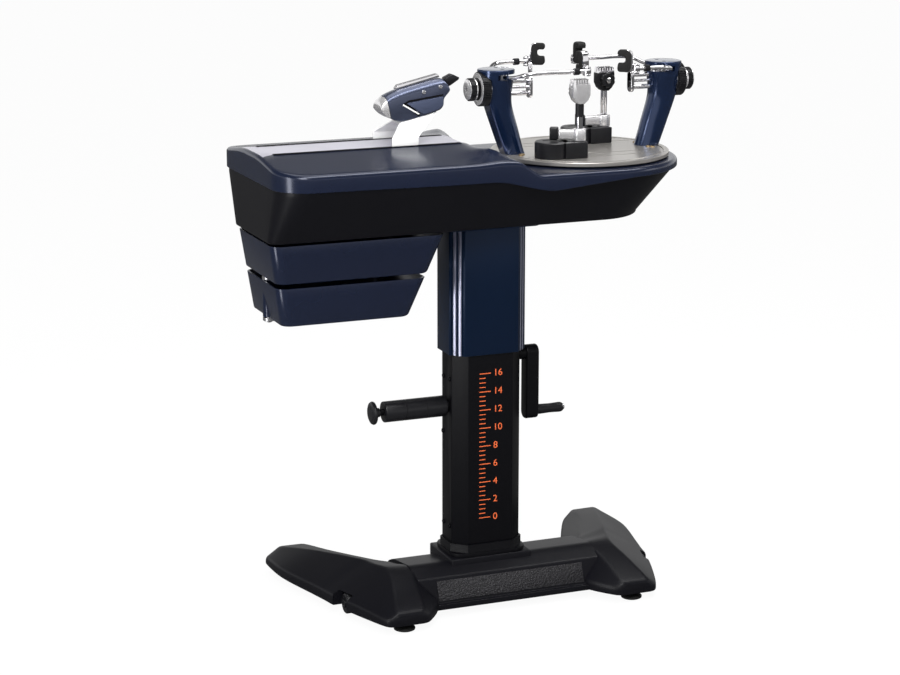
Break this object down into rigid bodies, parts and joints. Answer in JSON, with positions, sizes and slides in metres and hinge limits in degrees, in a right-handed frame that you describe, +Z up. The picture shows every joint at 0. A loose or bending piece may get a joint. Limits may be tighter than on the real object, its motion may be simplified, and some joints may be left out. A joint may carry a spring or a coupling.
{
  "type": "racket stringing machine",
  "caption": "Floor-standing electric racket stringing machine: crank-raised column, housing with tension head, turntable with frame supports and string clamps, tool trays.",
  "frame": {"origin": "middle of the bounding box at floor level", "axes": "+Z up, +X along the housing from the tool trays to the turntable, +Y to the back"},
  "size_m": [1, 0.526, 1.189],
  "materials": {
    "navy_paint": "navy metallic lacquer, satin",
    "post_blue": "blue metallic lacquer",
    "black_shell": "black moulded plastic",
    "black_tube": "black powder coat",
    "charcoal_casting": "charcoal satin paint on a casting",
    "black_plastic": "black plastic",
    "rubber": "black rubber",
    "plate_silver": "satin silver plate",
    "chrome": "polished chrome",
    "steel": "machined steel",
    "bronze": "bronze nut",
    "white_paint": "white gloss paint",
    "lever_grey": "grey-blue satin paint"
  },
  "bodies": {
    "stand": {"base_casting": "charcoal_casting", "column_collar": "black_tube", "lower_column": "black_tube", "screw_bearing": "steel", "reel_rod": "steel"},
    "crank": {"crank_shaft": "steel", "crank_arm": "black_tube"},
    "crank_grip": {"crank_grip": "black_plastic"},
    "lift_screw": {"lift_screw": "steel"},
    "reel_spool": {"reel_spool": "black_plastic"},
    "reel_end_knob": {"reel_end_knob": "black_plastic"},
    "lift": {"upper_column": "post_blue", "lift_nut": "bronze", "lower_housing": "black_shell", "top_cover": "navy_paint", "carriage_rails": "steel", "tension_motor": "steel", "turntable_bearing": "steel", "tray_pivot": "steel"},
    "tension_screw": {"tension_screw": "steel"},
    "carriage": {"tension_carriage": "steel", "head_bracket": "white_paint", "tension_head": "post_blue", "gripper_jaw_fixed": "chrome", "nose_guide": "black_plastic"},
    "release_lever": {"release_lever": "lever_grey"},
    "gripper_jaw_moving": {"gripper_jaw_moving": "chrome"},
    "tray_upper": {"tray_upper": "navy_paint"},
    "tray_lower": {"tray_lower": "navy_paint"},
    "turntable": {"turntable_plate": "plate_silver", "post_left": "post_blue", "post_right": "post_blue"},
    "foot_front_left": {"levelling_foot_front_left": "rubber"},
    "foot_front_right": {"levelling_foot_front_right": "rubber"},
    "foot_rear_left": {"levelling_foot_rear_left": "rubber"},
    "foot_rear_right": {"levelling_foot_rear_right": "rubber"},
    "transport_wheel_left": {"transport_wheel_left": "black_plastic"},
    "transport_wheel_right": {"transport_wheel_right": "black_plastic"},
    "inner_support_left": {"inner_support_left": "chrome"},
    "support_knob_left": {"support_knob_left": "black_plastic"},
    "arm_wheel_left": {"arm_wheel_left": "black_plastic"},
    "inner_support_right": {"inner_support_right": "chrome"},
    "support_knob_right": {"support_knob_right": "black_plastic"},
    "arm_wheel_right": {"arm_wheel_right": "black_plastic"},
    "side_arm_left_front": {"side_arm_left_front": "chrome"},
    "frame_pad_left_front": {"frame_pad_left_front": "rubber"},
    "side_arm_left_back": {"side_arm_left_back": "chrome"},
    "frame_pad_left_back": {"frame_pad_left_back": "rubber"},
    "side_arm_right_back": {"side_arm_right_back": "chrome"},
    "frame_pad_right_back": {"frame_pad_right_back": "rubber"},
    "side_arm_right_front": {"side_arm_right_front": "chrome"},
    "frame_pad_right_front": {"frame_pad_right_front": "rubber"},
    "clamp_base_front": {"clamp_base_front": "black_plastic"},
    "clamp_lever_front": {"clamp_lever_front": "chrome"},
    "clamp_post_front": {"clamp_post_front": "chrome"},
    "clamp_knob_front": {"clamp_knob_front": "black_plastic"},
    "clamp_base_rear": {"clamp_base_rear": "black_plastic"},
    "clamp_lever_rear": {"clamp_lever_rear": "chrome"},
    "clamp_post_rear": {"clamp_post_rear": "chrome"},
    "clamp_knob_rear": {"clamp_knob_rear": "black_plastic"}
  },
  "joints": [
    {"name": "foot_front_left_travel", "type": "slide", "parent": "stand", "child": "foot_front_left", "axis": [0, 0, -1], "range_m": [0, 0.01]},
    {"name": "foot_front_right_travel", "type": "slide", "parent": "stand", "child": "foot_front_right", "axis": [0, 0, -1], "range_m": [0, 0.01]},
    {"name": "foot_rear_left_travel", "type": "slide", "parent": "stand", "child": "foot_rear_left", "axis": [0, 0, -1], "range_m": [0, 0.01]},
    {"name": "foot_rear_right_travel", "type": "slide", "parent": "stand", "child": "foot_rear_right", "axis": [0, 0, -1], "range_m": [0, 0.01]},
    {"name": "transport_wheel_left_spin", "type": "hinge", "parent": "stand", "child": "transport_wheel_left", "pos_m": [-0.30682, -0.077, 0.027], "axis": [1, 0, 0], "continuous": true},
    {"name": "transport_wheel_right_spin", "type": "hinge", "parent": "stand", "child": "transport_wheel_right", "pos_m": [0.38682, -0.077, 0.027], "axis": [1, 0, 0], "continuous": true},
    {"name": "crank_turn", "type": "hinge", "parent": "stand", "child": "crank", "pos_m": [0.121, -0.049, 0.533], "axis": [1, 0, 0], "range_deg": [0, 5761]},
    {"name": "crank_grip_spin", "type": "hinge", "parent": "crank", "child": "crank_grip", "pos_m": [0.161, -0.049, 0.403], "axis": [1, 0, 0], "continuous": true},
    {"name": "column_lift", "type": "slide", "parent": "stand", "child": "lift", "axis": [0, 0, 1], "range_m": [0, 0.16]},
    {"name": "lift_screw_turn", "type": "hinge", "parent": "stand", "child": "lift_screw", "pos_m": [0.011, -0.049, 0.6], "axis": [0, 0, 1], "range_deg": [-5761, 0]},
    {"name": "reel_spool_spin", "type": "hinge", "parent": "stand", "child": "reel_spool", "pos_m": [-0.139, -0.049, 0.433], "axis": [1, 0, 0], "continuous": true},
    {"name": "reel_end_knob_turn", "type": "hinge", "parent": "stand", "child": "reel_end_knob", "pos_m": [-0.239, -0.049, 0.433], "axis": [1, 0, 0], "continuous": true},
    {"name": "tension_pull", "type": "slide", "parent": "lift", "child": "carriage", "axis": [-1, 0, 0], "range_m": [0, 0.2]},
    {"name": "tension_screw_turn", "type": "hinge", "parent": "lift", "child": "tension_screw", "pos_m": [-0.162, -0.049, 0.946], "axis": [1, 0, 0], "range_deg": [0, 7201]},
    {"name": "release_lever_lift", "type": "hinge", "parent": "carriage", "child": "release_lever", "pos_m": [-0.1667, -0.076, 1.0913], "axis": [0, -1, 0], "range_deg": [0, 8]},
    {"name": "gripper_close", "type": "slide", "parent": "carriage", "child": "gripper_jaw_moving", "axis": [0, 1, 0], "range_m": [0, 0.0015]},
    {"name": "tray_upper_swing", "type": "hinge", "parent": "lift", "child": "tray_upper", "pos_m": [-0.462, -0.049, 0.79], "axis": [0, 0, -1], "range_deg": [0, 75]},
    {"name": "tray_lower_swing", "type": "hinge", "parent": "lift", "child": "tray_lower", "pos_m": [-0.462, -0.049, 0.7], "axis": [0, 0, -1], "range_deg": [0, 75]},
    {"name": "turntable_spin", "type": "hinge", "parent": "lift", "child": "turntable", "pos_m": [0.238, -0.049, 0.97], "axis": [0, 0, 1], "continuous": true},
    {"name": "support_knob_left_turn", "type": "hinge", "parent": "turntable", "child": "support_knob_left", "pos_m": [-0.012, -0.049, 1.109], "axis": [1, 0, 0], "range_deg": [0, 1260]},
    {"name": "inner_support_left_travel", "type": "slide", "parent": "turntable", "child": "inner_support_left", "axis": [1, 0, 0], "range_m": [0, 0.0351]},
    {"name": "arm_wheel_left_turn", "type": "hinge", "parent": "turntable", "child": "arm_wheel_left", "pos_m": [0.011, -0.049, 1.109], "axis": [1, 0, 0], "range_deg": [-160, 120]},
    {"name": "support_knob_right_turn", "type": "hinge", "parent": "turntable", "child": "support_knob_right", "pos_m": [0.488, -0.049, 1.109], "axis": [1, 0, 0], "range_deg": [0, 1260]},
    {"name": "inner_support_right_travel", "type": "slide", "parent": "turntable", "child": "inner_support_right", "axis": [-1, 0, 0], "range_m": [0, 0.0351]},
    {"name": "arm_wheel_right_turn", "type": "hinge", "parent": "turntable", "child": "arm_wheel_right", "pos_m": [0.465, -0.049, 1.109], "axis": [1, 0, 0], "range_deg": [-160, 120]},
    {"name": "side_arm_left_front_swing", "type": "hinge", "parent": "turntable", "child": "side_arm_left_front", "pos_m": [0.05, -0.066, 1.135], "axis": [0, 0, 1], "range_deg": [-8.1, 6.1]},
    {"name": "frame_pad_left_front_swivel", "type": "hinge", "parent": "side_arm_left_front", "child": "frame_pad_left_front", "pos_m": [0.206, -0.15, 1.149], "axis": [0, 0, 1], "range_deg": [-20, 20]},
    {"name": "side_arm_left_back_swing", "type": "hinge", "parent": "turntable", "child": "side_arm_left_back", "pos_m": [0.05, -0.032, 1.135], "axis": [0, 0, 1], "range_deg": [-6.1, 8.1]},
    {"name": "frame_pad_left_back_swivel", "type": "hinge", "parent": "side_arm_left_back", "child": "frame_pad_left_back", "pos_m": [0.157, 0.052, 1.149], "axis": [0, 0, 1], "range_deg": [-20, 20]},
    {"name": "side_arm_right_back_swing", "type": "hinge", "parent": "turntable", "child": "side_arm_right_back", "pos_m": [0.426, -0.032, 1.135], "axis": [0, 0, 1], "range_deg": [-8.1, 6.1]},
    {"name": "frame_pad_right_back_swivel", "type": "hinge", "parent": "side_arm_right_back", "child": "frame_pad_right_back", "pos_m": [0.27, 0.052, 1.149], "axis": [0, 0, 1], "range_deg": [-20, 20]},
    {"name": "side_arm_right_front_swing", "type": "hinge", "parent": "turntable", "child": "side_arm_right_front", "pos_m": [0.426, -0.066, 1.135], "axis": [0, 0, 1], "range_deg": [-6.1, 8.1]},
    {"name": "frame_pad_right_front_swivel", "type": "hinge", "parent": "side_arm_right_front", "child": "frame_pad_right_front", "pos_m": [0.319, -0.15, 1.149], "axis": [0, 0, 1], "range_deg": [-20, 20]},
    {"name": "clamp_front_slide", "type": "slide", "parent": "turntable", "child": "clamp_base_front", "axis": [1, 0, 0], "range_m": [-0.02, 0.1]},
    {"name": "clamp_lever_front_swing", "type": "hinge", "parent": "clamp_base_front", "child": "clamp_lever_front", "pos_m": [0.191, -0.147, 1.013], "axis": [0, 0, 1], "range_deg": [-50, 20]},
    {"name": "clamp_post_front_swivel", "type": "hinge", "parent": "clamp_base_front", "child": "clamp_post_front", "pos_m": [0.191, -0.147, 1.05], "axis": [0, 0, 1], "continuous": true},
    {"name": "clamp_knob_front_turn", "type": "hinge", "parent": "clamp_post_front", "child": "clamp_knob_front", "pos_m": [0.191, -0.129, 1.106], "axis": [0, 1, 0], "range_deg": [-90, 90]},
    {"name": "clamp_rear_slide", "type": "slide", "parent": "turntable", "child": "clamp_base_rear", "axis": [1, 0, 0], "range_m": [-0.1, 0.012]},
    {"name": "clamp_lever_rear_swing", "type": "hinge", "parent": "clamp_base_rear", "child": "clamp_lever_rear", "pos_m": [0.326, 0.019, 1.013], "axis": [0, 0, 1], "range_deg": [-50, 20]},
    {"name": "clamp_post_rear_swivel", "type": "hinge", "parent": "clamp_base_rear", "child": "clamp_post_rear", "pos_m": [0.326, 0.019, 1.05], "axis": [0, 0, 1], "continuous": true},
    {"name": "clamp_knob_rear_turn", "type": "hinge", "parent": "clamp_post_rear", "child": "clamp_knob_rear", "pos_m": [0.326, 0.001, 1.106], "axis": [0, -1, 0], "range_deg": [-90, 90]}
  ],
  "couplings": [
    {"joint": "crank_turn", "follows": "column_lift", "rad_per_m": 628.32},
    {"joint": "lift_screw_turn", "follows": "column_lift", "rad_per_m": -628.32},
    {"joint": "tension_screw_turn", "follows": "tension_pull", "rad_per_m": 628.32},
    {"joint": "inner_support_left_travel", "follows": "support_knob_left_turn", "m_per_rad": 0.0015915},
    {"joint": "inner_support_right_travel", "follows": "support_knob_right_turn", "m_per_rad": 0.0015915},
    {"joint": "side_arm_left_front_swing", "follows": "arm_wheel_left_turn", "ratio": 0.05},
    {"joint": "side_arm_left_back_swing", "follows": "arm_wheel_left_turn", "ratio": -0.05},
    {"joint": "side_arm_right_back_swing", "follows": "arm_wheel_right_turn", "ratio": 0.05},
    {"joint": "side_arm_right_front_swing", "follows": "arm_wheel_right_turn", "ratio": -0.05}
  ]
}
